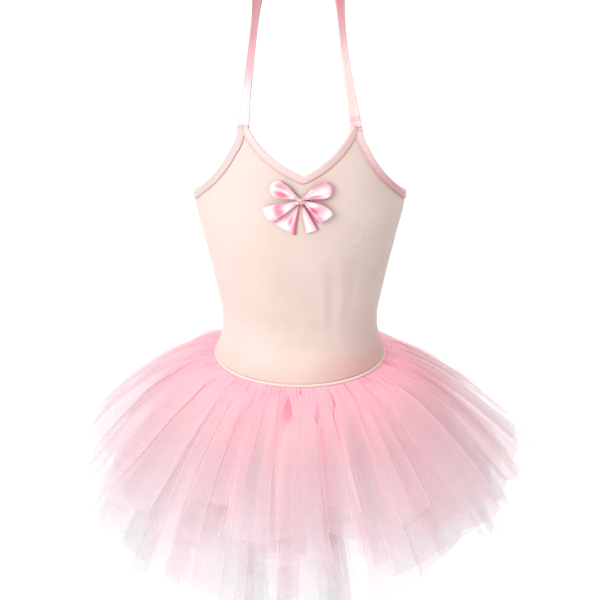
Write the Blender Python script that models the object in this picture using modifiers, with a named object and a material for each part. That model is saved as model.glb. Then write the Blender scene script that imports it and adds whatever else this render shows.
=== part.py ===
"""A child's ballet tutu, filled out as it is worn: a camisole bodice with a V neck, bound edges, thin
ribbon straps, a double ribbon bow, and a skirt of three gathered layers of tulle.

Metres, +Z up. The front faces -Y, and the wearer's left is at +X. The origin lies on the shoulders,
midway between the tops of the two straps, so the garment hangs below it. Tables give millimetres.
"""
import math
from collections import namedtuple

import bpy
import numpy as np
from mathutils import Vector

MM = 0.001
COLLECTION = "ballet_tutu"

# ---------------------------------------------------------------- driving sizes, mm
GAP = 0.3                  # between pieces at a seam
PANEL_WALL = 1.2           # stretch fabric of the bodice
BINDING_WALL = 0.9         # each leaf of the folded binding
BINDING_CLEAR = 0.45       # between a leaf and the panel inside the fold
BINDING_WIDTH = 8.0        # how far the binding reaches in from the bound edge
BINDING_MIN_WIDTH = 3.7    # where two bindings close up beside a strap
BINDING_SPREAD = 0.36      # how fast they widen below it
STRAP_WIDTH = 11.4
STRAP_WALL = 1.2
STRAP_CLEAR = 1.0          # between a flat strap end and the curved binding that it is sewn to
TULLE_WALL = 1.0
RIBBON_WALL = 0.9
BOW_LIFT = 0.7             # from the bodice to the lowest ribbon of the bow
LOOP_CROWN = 0.9           # how much the outer leaf of a bow loop bulges along its middle
LOOP_CROWN_ABOVE = 3.0     # height over the bodice from which a leaf is an outer one
BOW_REACH = 34.0           # length of a ribbon that its bend is stated for
RIBBON_LINES = (-1.0, -0.55, 0.0, 0.55, 1.0)   # places across a ribbon, in half widths
KNOT_CLEAR = 0.4           # more than BOW_LIFT under the knot
KNOT_ROUNDING = 0.35       # radius of its edges against its depth
HEM_Z = -402.5             # bodice hem at the side seams
HEM_DIP = 4.0              # how much lower the hem is at the centre front
NECK_SHIFT = 3.0           # sideways from the centre to the bottom of the V
SEAM_RADIUS = 100.0        # mean distance of the side seams from the axis
BODY_ROUNDNESS = 2.2       # exponent of a section, 2 for an ellipse
EDGE_SAMPLES = 80          # points that a bound edge is measured along by
FRONT_LIMIT = 89.0         # turn in degrees that bounds the front's points
HALVINGS = 40              # steps of the search for a point of the front

# Stations along the bound edges, each with a column of its panel under it, and rows of the panels
NECK_STATIONS = 12
ARM_STATIONS = 11
SCOOP_STATIONS = 11
PANEL_ROWS = (0.0, 0.14, 0.30, 0.46, 0.62, 0.77, 0.88, 0.95, 1.0)   # shares from hem to edge

# Sections of the body under the bodice's outer face, from the chest down to the hip
Section = namedtuple("Section", "z half_width front back")
BODY = [
    Section(-100, 106.0, 76.0, 66.0),
    Section(-150, 109.0, 80.0, 70.0),
    Section(-216, 110.5, 84.0, 74.0),
    Section(-261, 102.0, 82.0, 72.0),
    Section(-297, 94.0, 77.0, 68.0),
    Section(-328, 87.8, 73.0, 65.0),
    Section(-353, 83.5, 71.0, 63.0),
    Section(-366, 83.3, 71.5, 63.5),
    Section(-382, 85.7, 74.5, 66.5),
    Section(-404, 92.0, 80.0, 72.0),
    Section(-430, 98.0, 85.0, 78.0),
]

# Neck edge of the front, measured sideways from the bottom of the V
NeckPoint = namedtuple("NeckPoint", "out z")
NECK = [
    NeckPoint(0.0, -172.2),
    NeckPoint(10.0, -167.0),
    NeckPoint(21.7, -159.8),
    NeckPoint(34.6, -149.2),
    NeckPoint(46.0, -135.6),
    NeckPoint(54.2, -122.2),
]

# Upper edge of the bodice from a front strap point round to the centre back; turn is in degrees from
# the centre front. The front's part is the armhole, and the back's dips under the arm, rises to the
# back strap point and then drops into a low scoop.
EdgePoint = namedtuple("EdgePoint", "turn z")
FRONT_ARMHOLE = [
    EdgePoint(42.4, -122.2),
    EdgePoint(43.2, -134.0),
    EdgePoint(47.1, -149.2),
    EdgePoint(51.8, -164.3),
    EdgePoint(59.4, -182.0),
    EdgePoint(68.2, -196.3),
    EdgePoint(80.3, -210.8),
    EdgePoint(90.0, -216.4),
]
BACK_ARMHOLE = [
    EdgePoint(90.0, -216.4),
    EdgePoint(101.0, -221.5),
    EdgePoint(113.0, -224.5),
    EdgePoint(124.0, -222.0),
    EdgePoint(131.0, -215.0),
    EdgePoint(134.5, -207.0),
]
BACK_SCOOP = [
    EdgePoint(141.5, -207.0),
    EdgePoint(144.0, -222.0),
    EdgePoint(149.0, -243.0),
    EdgePoint(157.0, -264.0),
    EdgePoint(168.0, -279.0),
    EdgePoint(180.0, -284.0),
]

# Free run of a strap, wearer's left, between its sewn ends; twist turns the ribbon, in degrees, and
# both straps sway to the wearer's right
StrapPoint = namedtuple("StrapPoint", "x y z twist sway")
STRAP = [
    StrapPoint(52.6, -58.0, -95.0, 47.0, -1.0),
    StrapPoint(47.4, -46.0, -60.0, 56.0, -2.0),
    StrapPoint(43.4, -30.0, -30.0, 62.0, -2.0),
    StrapPoint(40.7, -15.0, -9.0, 60.0, -1.6),
    StrapPoint(40.0, 0.0, 0.0, 34.0, -1.4),
    StrapPoint(40.8, 18.0, -8.0, -10.0, -1.4),
    StrapPoint(43.4, 36.0, -32.0, -46.0, -1.6),
    StrapPoint(47.3, 48.0, -68.0, -54.0, -2.0),
    StrapPoint(52.9, 54.5, -115.0, -50.0, -1.6),
    StrapPoint(58.6, 58.0, -165.0, -42.0, -0.6),
]
STRAP_STEPS = 30
STRAP_TUCK = 11.0          # length of an end sewn inside the bodice

# A tulle layer: drop of its gathered edge below the hem, gathers all round, bands of its wall, and
# the least size of its gathers at the waist and their size at the hem
Layer = namedtuple("Layer", "name drop gathers bands top_fold hem_fold seed")
LAYERS = [
    Layer("skirt_top_layer", 2.6, 54, 4, 0.9, 6.0, 11),
    Layer("skirt_middle_layer", 6.6, 50, 3, 0.9, 6.5, 23),
    Layer("skirt_bottom_layer", 10.8, 46, 3, 0.9, 7.0, 37),
]
POINTS_PER_GATHER = 4
LAYER_STEPS = 24           # steps in which a layer's fall is added up
WIDTH_SPREAD = 0.3         # how uneven the gathers are in width and depth, and their hems in length
DEPTH_SPREAD = 0.3
STRIP_SPREAD = 0.02
FOLD_GROWTH = 0.85         # under 1, the gathers open out sooner

# How steeply each layer falls, degrees below level at shares of its length from waist to hem
Fall = namedtuple("Fall", "share top middle bottom")
FALLS = [
    Fall(0.00, 19.0, 31.0, 44.0),
    Fall(0.25, 32.0, 43.0, 52.0),
    Fall(0.55, 41.0, 50.0, 57.0),
    Fall(1.00, 49.0, 54.0, 60.0),
]
LENGTHS = {"skirt_top_layer": 190.0, "skirt_middle_layer": 213.0, "skirt_bottom_layer": 237.0}

# Round the skirt: the share of its length that each layer has, since the net is cut in uneven strips,
# and how many degrees flatter it stands out
Round = namedtuple("Round", "turn top middle bottom flatter")
ROUNDS = [
    Round(-180, 0.99, 0.97, 0.97, 0.0),
    Round(-160, 1.02, 1.00, 0.95, 0.0),
    Round(-140, 0.95, 0.95, 0.98, 0.5),
    Round(-118, 1.02, 0.99, 0.94, 1.0),
    Round(-98, 1.01, 1.00, 0.96, 1.0),
    Round(-86, 1.00, 0.95, 0.94, 1.0),
    Round(-72, 0.95, 0.93, 0.91, 0.5),
    Round(-58, 0.98, 0.95, 0.92, 0.0),
    Round(-44, 0.95, 0.97, 0.93, 0.0),
    Round(-33, 0.98, 0.99, 0.97, 0.0),
    Round(-24, 0.88, 0.92, 0.99, 0.0),
    Round(-12, 1.00, 1.01, 1.01, 0.0),
    Round(5, 1.01, 1.02, 1.01, 0.0),
    Round(16, 0.88, 0.90, 0.98, 0.0),
    Round(28, 1.00, 0.98, 0.95, 0.5),
    Round(44, 0.96, 0.93, 0.90, 1.0),
    Round(60, 0.99, 0.95, 0.89, 1.0),
    Round(76, 0.97, 0.93, 0.91, 1.5),
    Round(91, 1.04, 1.01, 0.95, 2.0),
    Round(108, 1.01, 0.97, 0.94, 1.5),
    Round(130, 0.96, 1.00, 0.96, 1.0),
    Round(154, 1.01, 0.95, 0.98, 0.5),
    Round(180, 0.99, 0.97, 0.97, 0.0),
]

# Bow on the centre front: x and z of the knot, and the run of each ribbon away from it. along is the
# distance from the knot, out the height over the bodice, half the half width of the ribbon.
KNOT = (0.6, -196.0)
KNOT_SIZE = (7.0, 6.0, 8.5)
RibbonPoint = namedtuple("RibbonPoint", "along out half")
LOOP = [
    RibbonPoint(6.2, 3.6, 2.2),
    RibbonPoint(11.0, 5.0, 4.0),
    RibbonPoint(18.0, 6.2, 6.4),
    RibbonPoint(26.0, 6.4, 7.8),
    RibbonPoint(32.0, 5.4, 8.2),
    RibbonPoint(34.0, 3.7, 8.2),
    RibbonPoint(31.0, 2.1, 8.0),
    RibbonPoint(24.0, 1.3, 7.2),
    RibbonPoint(14.0, 1.0, 4.4),
    RibbonPoint(7.5, 1.0, 2.4),
]
TAIL = [
    RibbonPoint(6.4, 0.7, 1.5),
    RibbonPoint(14.0, 1.0, 3.4),
    RibbonPoint(24.0, 0.9, 4.8),
    RibbonPoint(33.0, 1.3, 5.6),
]
FAN = [
    RibbonPoint(6.4, 0.7, 2.2),
    RibbonPoint(14.0, 1.0, 5.2),
    RibbonPoint(24.0, 0.9, 9.0),
    RibbonPoint(33.0, 1.3, 12.4),
]
# heading is degrees anticlockwise from +X as the wearer is faced, and bend how far it turns by the end of
# the ribbon; size and width scale the ribbon; lift is added to its height, so that it clears the ribbons
# under it; round is how much shorter its corners are than its middle
Ribbon = namedtuple("Ribbon", "name shape heading bend size width lift round")
RIBBONS = [
    Ribbon("bow_loop_upper_left", LOOP, 40.0, -44.0, 0.97, 1.08, 0.0, 5.0),
    Ribbon("bow_loop_upper_right", LOOP, 142.0, 24.0, 0.97, 1.06, 0.0, 7.0),
    Ribbon("bow_loop_lower_left", LOOP, -14.0, -50.0, 0.94, 1.08, 1.7, 2.0),
    Ribbon("bow_loop_lower_right", LOOP, -158.0, 6.0, 1.10, 1.02, 1.7, 1.0),
    Ribbon("bow_tail_left", TAIL, -71.0, 0.0, 1.07, 1.0, 0.0, 0.0),
    Ribbon("bow_tail_right", FAN, -121.0, 0.0, 1.05, 1.0, 0.0, 0.0),
]

# colour, roughness
FINISH = {
    "bodice": ((0.83, 0.68, 0.58, 1.0), 0.62),
    "satin": ((0.92, 0.55, 0.60, 1.0), 0.32),
    "tulle": ((0.90, 0.42, 0.52, 1.0), 0.75),
}


# ---------------------------------------------------------------- curves through tables
def smooth(xs, ys, x):
    """Value at x of a monotone cubic through the points (xs, ys), xs rising."""
    xs = np.asarray(xs, float)
    ys = np.asarray(ys, float)
    step = np.diff(xs)
    slope = np.diff(ys) / step
    tangent = np.zeros(len(xs))
    tangent[0], tangent[-1] = slope[0], slope[-1]
    for i in range(1, len(xs) - 1):
        if slope[i - 1] * slope[i] > 0:
            before, after = 2 * step[i] + step[i - 1], step[i] + 2 * step[i - 1]
            tangent[i] = (before + after) / (before / slope[i - 1] + after / slope[i])
    i = int(np.clip(np.searchsorted(xs, x) - 1, 0, len(xs) - 2))
    t = float(np.clip((x - xs[i]) / step[i], 0.0, 1.0))
    return ((2 * t**3 - 3 * t**2 + 1) * ys[i] + (t**3 - 2 * t**2 + t) * step[i] * tangent[i]
            + (3 * t**2 - 2 * t**3) * ys[i + 1] + (t**3 - t**2) * step[i] * tangent[i + 1])


def column(table, name):
    return [getattr(row, name) for row in table]


def spline(points, share):
    """Point at a share of the way along a Catmull-Rom curve through the rows of a table."""
    points = np.asarray(points, float)
    place = share * (len(points) - 1)
    i = int(min(place, len(points) - 2))
    t = place - i
    before = points[i - 1] if i else 2 * points[0] - points[1]
    after = points[i + 2] if i + 2 < len(points) else 2 * points[-1] - points[-2]
    a, b = points[i], points[i + 1]
    return 0.5 * (2 * a + (b - before) * t + (2 * before - 5 * a + 4 * b - after) * t**2
                  + (3 * a - before - 3 * b + after) * t**3)


# ---------------------------------------------------------------- the body's surface
LEVELS = BODY[::-1]


def radius(turn, z):
    """Distance from the axis to the bodice's outer face."""
    heights = column(LEVELS, "z")
    side = smooth(heights, column(LEVELS, "half_width"), z)
    depth = smooth(heights, column(LEVELS, "front" if abs(turn) < 90 else "back"), z)
    angle = math.radians(turn)
    n = BODY_ROUNDNESS
    return (abs(math.sin(angle) / side)**n + abs(math.cos(angle) / depth)**n)**(-1 / n)


def outer(turn, z):
    r = radius(turn, z)
    angle = math.radians(turn)
    return Vector((r * math.sin(angle), -r * math.cos(angle), z))


def normal(turn, z):
    across = outer(turn + 0.5, z) - outer(turn - 0.5, z)
    upward = outer(turn, z + 1) - outer(turn, z - 1)
    return across.cross(upward).normalized()


def on_body(turn, z, off=0.0):
    return outer(turn, z) + normal(turn, z) * off


def turn_at(x, z):
    """Turn, in degrees, of the front's point that is x to the side."""
    low, high = 0.0, FRONT_LIMIT
    for _ in range(HALVINGS):
        middle = (low + high) / 2
        if radius(middle, z) * math.sin(math.radians(middle)) < abs(x):
            low = middle
        else:
            high = middle
    return math.copysign(low, x)


def hem_z(turn):
    return HEM_Z - HEM_DIP * max(0.0, math.cos(math.radians(turn)))**2


# ---------------------------------------------------------------- upper edge of the bodice
def spread(points, count):
    """count points at equal steps over the body, along a line through (turn, z) points."""
    run = [0.0]
    for a, b in zip(points, points[1:]):
        run.append(run[-1] + (outer(*a) - outer(*b)).length)
    steps = np.linspace(0, run[-1], count)
    turns = np.interp(steps, run, [p[0] for p in points])
    heights = np.interp(steps, run, [p[1] for p in points])
    return list(zip(turns, heights))


def edge_line(table, count, side=1):
    """Stations along one of the EdgePoint tables, on the wearer's left (1) or right (-1)."""
    turns, heights = column(table, "turn"), column(table, "z")
    fine = [(side * t, smooth(turns, heights, t)) for t in np.linspace(turns[0], turns[-1], EDGE_SAMPLES)]
    return spread(fine, count)


def neck_line(count, side):
    """Stations of the front neck edge from the bottom of the V to a strap point."""
    outs, heights = column(NECK, "out"), column(NECK, "z")
    fine = []
    for out in np.linspace(0, outs[-1], EDGE_SAMPLES):
        z = smooth(outs, heights, out)
        fine.append((turn_at(side * out + NECK_SHIFT * (1 - out / outs[-1]), z), z))
    return spread(fine, count)


def front_edge():
    """(turn, z) of the front's upper edge: armhole, neck, armhole, from right seam to left seam."""
    neck = neck_line(NECK_STATIONS, -1)[:0:-1] + neck_line(NECK_STATIONS, 1)
    return edge_line(FRONT_ARMHOLE, ARM_STATIONS, -1)[::-1], neck, edge_line(FRONT_ARMHOLE, ARM_STATIONS)


def back_edge():
    """(turn, z) of the back's upper edge, from left seam to right seam; turn runs on past 180."""
    arm, scoop = edge_line(BACK_ARMHOLE, ARM_STATIONS), edge_line(BACK_SCOOP, SCOOP_STATIONS)

    def mirrored(points):
        return [(360.0 - turn, z) for turn, z in points[::-1]]

    return arm, scoop + mirrored(scoop)[1:], mirrored(arm)


# ---------------------------------------------------------------- making solids
def finish(name):
    colour, roughness = FINISH[name]
    material = bpy.data.materials.get(name)
    if material is None:
        material = bpy.data.materials.new(name)
        material.use_nodes = True
        shader = material.node_tree.nodes["Principled BSDF"]
        shader.inputs["Base Color"].default_value = colour
        shader.inputs["Roughness"].default_value = roughness
        shader.inputs["Metallic"].default_value = 0.0
    return material


def sheet(name, grid, wall, look, closed=False, offset=0.0):
    """An open sheet through a grid of points in mm, rows by columns, made solid by Solidify."""
    rows, cols = len(grid), len(grid[0])
    points = [tuple(p * MM for p in point) for row in grid for point in row]
    faces = []
    for r in range(rows - 1):
        for c in range(cols if closed else cols - 1):
            d = (c + 1) % cols
            faces.append((r * cols + c, r * cols + d, (r + 1) * cols + d, (r + 1) * cols + c))
    mesh = bpy.data.meshes.new(name)
    mesh.from_pydata(points, [], faces)
    mesh.shade_smooth()
    mesh.materials.append(finish(look))
    thing = bpy.data.objects.new(name, mesh)
    bpy.data.collections[COLLECTION].objects.link(thing)
    solid = thing.modifiers.new("wall", "SOLIDIFY")
    solid.thickness = wall * MM
    solid.offset = offset
    solid.use_even_offset = True
    return thing


# ---------------------------------------------------------------- the pieces
def panel(name, edge):
    """A bodice panel: a column under each station of its upper edge, rows from the hem up to it."""
    first, last = edge[0][0], edge[-1][0]
    seam = math.degrees(GAP / 2 / SEAM_RADIUS)
    edge = [(first + seam, edge[0][1])] + edge[1:-1] + [(last - seam, edge[-1][1])]
    grid = []
    for share in PANEL_ROWS:
        grid.append([on_body(t, hem_z(t) + (z - hem_z(t)) * share) for t, z in edge])
    return sheet(name, grid, PANEL_WALL, "bodice", offset=-1.0)


def binding(name, edge, tip_z):
    """A strip folded over the bound edge; it narrows towards its ends, at height tip_z."""
    clear = BINDING_WALL / 2 + BINDING_CLEAR
    leaves = ((1, clear), (0, clear), (0, -PANEL_WALL - clear), (1, -PANEL_WALL - clear))
    points = [on_body(t, z) for t, z in edge]
    grid = [[] for _ in leaves]
    for i, (turn, z) in enumerate(edge):
        run = (points[min(i + 1, len(edge) - 1)] - points[max(i - 1, 0)]).normalized()
        inward = normal(turn, z).cross(run).normalized()
        if inward.z > 0:
            inward = -inward
        tip = tip_z[0] if i < len(edge) / 2 else tip_z[1]
        width = min(BINDING_WIDTH, BINDING_MIN_WIDTH + BINDING_SPREAD * max(0.0, tip - z))
        for row, (reach, off) in zip(grid, leaves):
            target = points[i] + inward * (width if reach else -clear)
            row.append(on_body(math.degrees(math.atan2(target.x, -target.y)), target.z, off))
    return sheet(name, grid, BINDING_WALL, "satin")


def bodice():
    """Both panels and the four bindings, which share the stations of the panels' edges."""
    right, neck, left = front_edge()
    back_left, scoop, back_right = back_edge()
    front_tip, back_tip = FRONT_ARMHOLE[0].z, BACK_SCOOP[0].z
    panel("bodice_front", right + neck + left)
    panel("bodice_back", back_left + scoop + back_right)
    binding("binding_neck_front", neck, (front_tip, front_tip))
    binding("binding_armhole_left", left + back_left[1:], (front_tip, back_tip))
    binding("binding_armhole_right", right[::-1] + back_right[-2::-1], (front_tip, back_tip))
    binding("binding_neck_back", scoop, (back_tip, back_tip))


def strap(name, side):
    """A flat ribbon from inside a front strap point over the shoulder to inside the back one."""
    inside = -(PANEL_WALL + BINDING_CLEAR + BINDING_WALL + STRAP_CLEAR + STRAP_WALL / 2)
    tip = neck_line(NECK_STATIONS, 1)[-1]
    front = (tip[0] + FRONT_ARMHOLE[0].turn) / 2, tip[1]
    back = (BACK_ARMHOLE[-1].turn + BACK_SCOOP[0].turn) / 2, BACK_SCOOP[0].z

    def sewn(turn, z, half_turn):
        face = normal(turn, z)
        return (*on_body(turn, z, inside), math.degrees(math.atan2(face.x, -face.y)) - half_turn, 0)

    route = [sewn(front[0], front[1] - STRAP_TUCK, 0), sewn(*front, 0)]
    route += [tuple(row) for row in STRAP]
    route += [sewn(*back, 180), sewn(back[0], back[1] - STRAP_TUCK, 180)]
    places = [spline(route, k / STRAP_STEPS) for k in range(STRAP_STEPS + 1)]
    grid = [[], []]
    for k, place in enumerate(places):
        centre = Vector(place[:3])
        ahead = Vector(places[min(k + 1, STRAP_STEPS)][:3])
        behind = Vector(places[max(k - 1, 0)][:3])
        run = (ahead - behind).normalized()
        twist = math.radians(place[3])
        across = Vector((math.cos(twist), math.sin(twist), 0))
        across = (across - run * across.dot(run)).normalized()
        for row, share in zip(grid, (-0.5, 0.5)):
            point = centre + across * STRAP_WIDTH * share
            row.append(Vector((side * point.x + place[4], point.y, point.z)))
    return sheet(name, grid[::side], STRAP_WALL, "satin")


def skirt_layer(layer):
    """One gathered layer: waves of uneven width that grow from the waist to an uneven hem."""
    rng = np.random.default_rng(layer.seed)
    widths = 1 + WIDTH_SPREAD * rng.uniform(-1, 1, layer.gathers)
    depths = 1 + DEPTH_SPREAD * rng.uniform(-1, 1, layer.gathers)
    strips = STRIP_SPREAD * rng.uniform(-1, 1, layer.gathers)
    starts = np.concatenate(([0.0], np.cumsum(widths))) / widths.sum()
    key = layer.name.split("_")[1]
    turns, shares = column(ROUNDS, "turn"), column(FALLS, "share")
    steps = LAYER_STEPS
    rows = [round(k * steps / layer.bands) for k in range(layer.bands + 1)]
    grid = [[] for _ in rows]
    for gather in range(layer.gathers):
        for phase in range(POINTS_PER_GATHER):
            part = phase / POINTS_PER_GATHER
            turn = -180 + 360 * (starts[gather] * (1 - part) + starts[gather + 1] * part)
            out = normal(turn, hem_z(turn))
            out = Vector((out.x, out.y, 0)).normalized()
            place = outer(turn, hem_z(turn)) - out * PANEL_WALL / 2
            place.z -= layer.drop
            length = LENGTHS[layer.name] * (smooth(turns, column(ROUNDS, key), turn) + strips[gather])
            flatter = smooth(turns, column(ROUNDS, "flatter"), turn)
            wave = math.sin(2 * math.pi * (part + 0.5 / POINTS_PER_GATHER)) * depths[gather]
            for s in range(steps + 1):
                share = s / steps
                fall = math.radians(smooth(shares, column(FALLS, key), share) - flatter)
                if s:
                    place += (out * math.cos(fall) - Vector((0, 0, math.sin(fall)))) * length / steps
                if s in rows:
                    lift = out * math.sin(fall) + Vector((0, 0, math.cos(fall)))
                    size = layer.top_fold + (layer.hem_fold - layer.top_fold) * share**FOLD_GROWTH
                    grid[rows.index(s)].append(place + lift * wave * size)
    return sheet(layer.name, grid[::-1], TULLE_WALL, "tulle", closed=True)


def ribbon(row):
    """A ribbon of the bow, laid over the front of the bodice."""
    table = [(p.along * row.size, p.out, p.half * row.width) for p in row.shape]
    steps = 2 * (len(table) - 1)
    grid = [[] for _ in RIBBON_LINES]
    for k in range(steps + 1):
        along, out, half = spline(table, k / steps)
        for line, share in zip(grid, RIBBON_LINES):
            reach = along - row.round * share**2 * (along / BOW_REACH)**3
            chord = math.radians(row.heading + row.bend * reach / BOW_REACH / 2)
            heading = math.radians(row.heading + row.bend * reach / BOW_REACH)
            x = KNOT[0] + reach * math.cos(chord) - half * share * math.sin(heading)
            z = KNOT[1] + reach * math.sin(chord) + half * share * math.cos(heading)
            crown = LOOP_CROWN * (1 - share**2) if out > LOOP_CROWN_ABOVE else 0.0
            off = BOW_LIFT + row.lift + out + crown
            line.append(on_body(turn_at(x, z), z, off))
    return sheet(row.name, grid, RIBBON_WALL, "satin")


def knot():
    """The wrapped knot of the bow: a pillow with rounded edges."""
    x, z = KNOT
    turn = turn_at(x, z)
    centre = on_body(turn, z, BOW_LIFT + KNOT_CLEAR + KNOT_SIZE[1] / 2) * MM
    bpy.ops.mesh.primitive_cube_add(size=1.0, location=centre)
    thing = bpy.context.object
    thing.name = thing.data.name = "bow_knot"
    thing.scale = [s * MM for s in KNOT_SIZE]
    bpy.ops.object.transform_apply(location=False, rotation=False, scale=True)
    thing.rotation_euler[2] = math.radians(turn)
    rounding = thing.modifiers.new("rounding", "BEVEL")
    rounding.width = KNOT_ROUNDING * KNOT_SIZE[1] * MM
    rounding.segments = 2
    thing.data.shade_smooth()
    thing.data.materials.append(finish("satin"))
    for home in thing.users_collection:
        home.objects.unlink(thing)
    bpy.data.collections[COLLECTION].objects.link(thing)


def build():
    for thing in list(bpy.data.objects):
        bpy.data.objects.remove(thing, do_unlink=True)
    bpy.context.scene.collection.children.link(bpy.data.collections.new(COLLECTION))
    bodice()
    strap("strap_left", 1)
    strap("strap_right", -1)
    for layer in LAYERS:
        skirt_layer(layer)
    for row in RIBBONS:
        ribbon(row)
    knot()


build()
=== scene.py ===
"""Looks of the ballet tutu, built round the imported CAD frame.

Metres in the scene, millimetres and degrees in the tables, +Z up. The front faces -Y and the wearer's left
is at +X. A turn goes round the wearer from the centre front, 0, to the left side, 90, and the back, 180.
"""
import math
from collections import namedtuple

import bpy
import numpy as np
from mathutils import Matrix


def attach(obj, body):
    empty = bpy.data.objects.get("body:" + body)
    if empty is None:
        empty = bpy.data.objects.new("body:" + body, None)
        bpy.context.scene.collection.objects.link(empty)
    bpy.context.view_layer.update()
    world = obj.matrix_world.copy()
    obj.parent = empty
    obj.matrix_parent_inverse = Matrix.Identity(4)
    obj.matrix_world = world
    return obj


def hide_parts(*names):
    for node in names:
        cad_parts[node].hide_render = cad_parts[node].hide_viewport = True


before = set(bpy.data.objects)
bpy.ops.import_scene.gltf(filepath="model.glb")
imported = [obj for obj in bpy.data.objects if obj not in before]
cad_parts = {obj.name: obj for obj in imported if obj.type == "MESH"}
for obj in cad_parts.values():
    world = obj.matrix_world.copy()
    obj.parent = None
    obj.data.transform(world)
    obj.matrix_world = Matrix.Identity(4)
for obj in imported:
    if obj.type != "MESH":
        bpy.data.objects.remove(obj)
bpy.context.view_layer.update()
MM = 0.001

# ---- sizes shared with the CAD
PANEL_WALL = 1.2
BINDING_WALL = 0.9
BINDING_CLEAR = 0.45
BINDING_WIDTH = 7.1
BINDING_MIN_WIDTH = 4.4
BINDING_SPREAD = 0.42      # width gained for each mm below a tip
BINDING_BULGE = 0.9        # of the fold, past the bound edge
STRAP_WIDTH = 11.4
STRAP_WALL = 1.2
STRAP_CLEAR = 1.0
STRAP_TUCK = 11.0          # of each end, behind the bodice
STRAP_CUP = 0.35           # rise of the middle over the edges
BOW_LIFT = 0.7
BOW_REACH = 34.0
HEM_Z = -402.5
HEM_DIP = 4.0
NECK_SHIFT = 3.0
BODY_ROUNDNESS = 2.2       # power of the body's sections, 2 for an ellipse
# walls of the cloth, some of them thinner than the CAD's
KNIT_CLOTH, HEM_CLOTH, BINDING_CLOTH, STRAP_CLOTH, BOW_CLOTH = 0.9, 0.4, 0.55, 0.8, 0.45

# z, half_width, front, back
BODY = np.array([
    (-430, 98, 85, 78), (-404, 92, 80, 72), (-382, 85.7, 74.5, 66.5), (-366, 83.3, 71.5, 63.5),
    (-353, 83.5, 71, 63), (-328, 87.8, 73, 65), (-297, 94, 77, 68), (-261, 102, 82, 72),
    (-216, 110.5, 84, 74), (-150, 109, 80, 70), (-100, 106, 76, 66),
])
# out from the bottom of the V, z
NECK = np.array([
    (0, -172.2), (10, -167), (21.7, -159.8), (34.6, -149.2), (46, -135.6), (54.2, -122.2),
])
# turn, z
FRONT_ARMHOLE = np.array([
    (42.4, -122.2), (43.2, -134), (47.1, -149.2), (51.8, -164.3), (59.4, -182), (68.2, -196.3),
    (80.3, -210.8), (90, -216.4),
])
BACK_ARMHOLE = np.array([
    (90, -216.4), (101, -221.5), (113, -224.5), (124, -222), (131, -215), (134.5, -207),
])
BACK_SCOOP = np.array([
    (141.5, -207), (144, -222), (149, -243), (157, -264), (168, -279), (180, -284),
])
# x, y, z, twist in degrees, sway
STRAP = np.array([
    (52.6, -58, -95, 47, -1), (47.4, -46, -60, 56, -2), (43.4, -30, -30, 62, -2),
    (40.7, -15, -9, 60, -1.6), (40, 0, 0, 34, -1.4), (40.8, 18, -8, -10, -1.4),
    (43.4, 36, -32, -46, -1.6), (47.3, 48, -68, -54, -2), (52.9, 54.5, -115, -50, -1.6),
    (58.6, 58, -165, -42, -0.6),
])
KNOT = (0.6, -196)
KNOT_SIZE = (7, 6, 8.5)
# away from the knot, out from the bodice, half the width
LOOP = np.array([
    (6.2, 3, 2.2), (11, 3.9, 4), (18, 4.6, 6.4), (26, 4.8, 7.8), (32, 4.2, 8.2),
    (34, 3, 8.2), (31, 1.9, 8), (24, 1.2, 7.2), (14, 0.9, 4.4), (7.5, 0.9, 2.4),
])
TAIL = np.array([(6.4, 0.7, 1.5), (14, 1, 3.4), (24, 0.9, 4.8), (33, 1.3, 5.6)])
FAN = np.array([(6.4, 0.7, 2.2), (14, 1, 5.2), (24, 0.9, 9), (33, 1.3, 12.4)])
# heading from +X and bend along the way in degrees, size and width against the shape's, lift off the bodice
# and rounding of the corners
Ribbon = namedtuple("Ribbon", "name shape heading bend size width lift round")
RIBBONS = [
    Ribbon("bow_loop_upper_left", LOOP, 40, -44, 0.97, 1.08, 0, 5),
    Ribbon("bow_loop_upper_right", LOOP, 142, 24, 0.97, 1.06, 0, 7),
    Ribbon("bow_loop_lower_left", LOOP, -14, -50, 0.94, 1.08, 1.1, 2),
    Ribbon("bow_loop_lower_right", LOOP, -158, 6, 1.1, 1.02, 1.1, 1),
    Ribbon("bow_tail_left", TAIL, -71, 0, 1.07, 1, 0, 0),
    Ribbon("bow_tail_right", FAN, -121, 0, 1.05, 1, 0, 0),
]


# ---- curves and the body's surface
HALVINGS = 36
EDGE_SAMPLES = 120         # along an edge's curve, before its points are spread evenly


def clamp(x):
    return np.clip(x, 0, 1)


def bell(x, width, power=2):
    return np.exp(-(x / width)**power)


def paired(a, b):
    """Rows of a value of each, such as turn and z, or u and v on the flat cloth."""
    return np.stack(np.broadcast_arrays(a, b), -1)


def smooth(table, x, column=1):
    """A table's column where its first is x, by a monotone cubic."""
    xs, ys, x = table[:, 0], table[:, column], np.asarray(x, float)
    step = np.diff(xs)
    slope = np.diff(ys) / step
    tangent = np.zeros(len(xs))
    tangent[0], tangent[-1] = slope[0], slope[-1]
    for i in range(1, len(xs) - 1):
        if slope[i - 1] * slope[i] > 0:
            before, after = 2 * step[i] + step[i - 1], step[i] + 2 * step[i - 1]
            tangent[i] = (before + after) / (before / slope[i - 1] + after / slope[i])
    i = np.clip(np.searchsorted(xs, x) - 1, 0, len(xs) - 2)
    t = clamp((x - xs[i]) / step[i])
    return ((2 * t**3 - 3 * t**2 + 1) * ys[i] + (t**3 - 2 * t**2 + t) * step[i] * tangent[i]
            + (3 * t**2 - 2 * t**3) * ys[i + 1] + (t**3 - t**2) * step[i] * tangent[i + 1])


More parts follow.
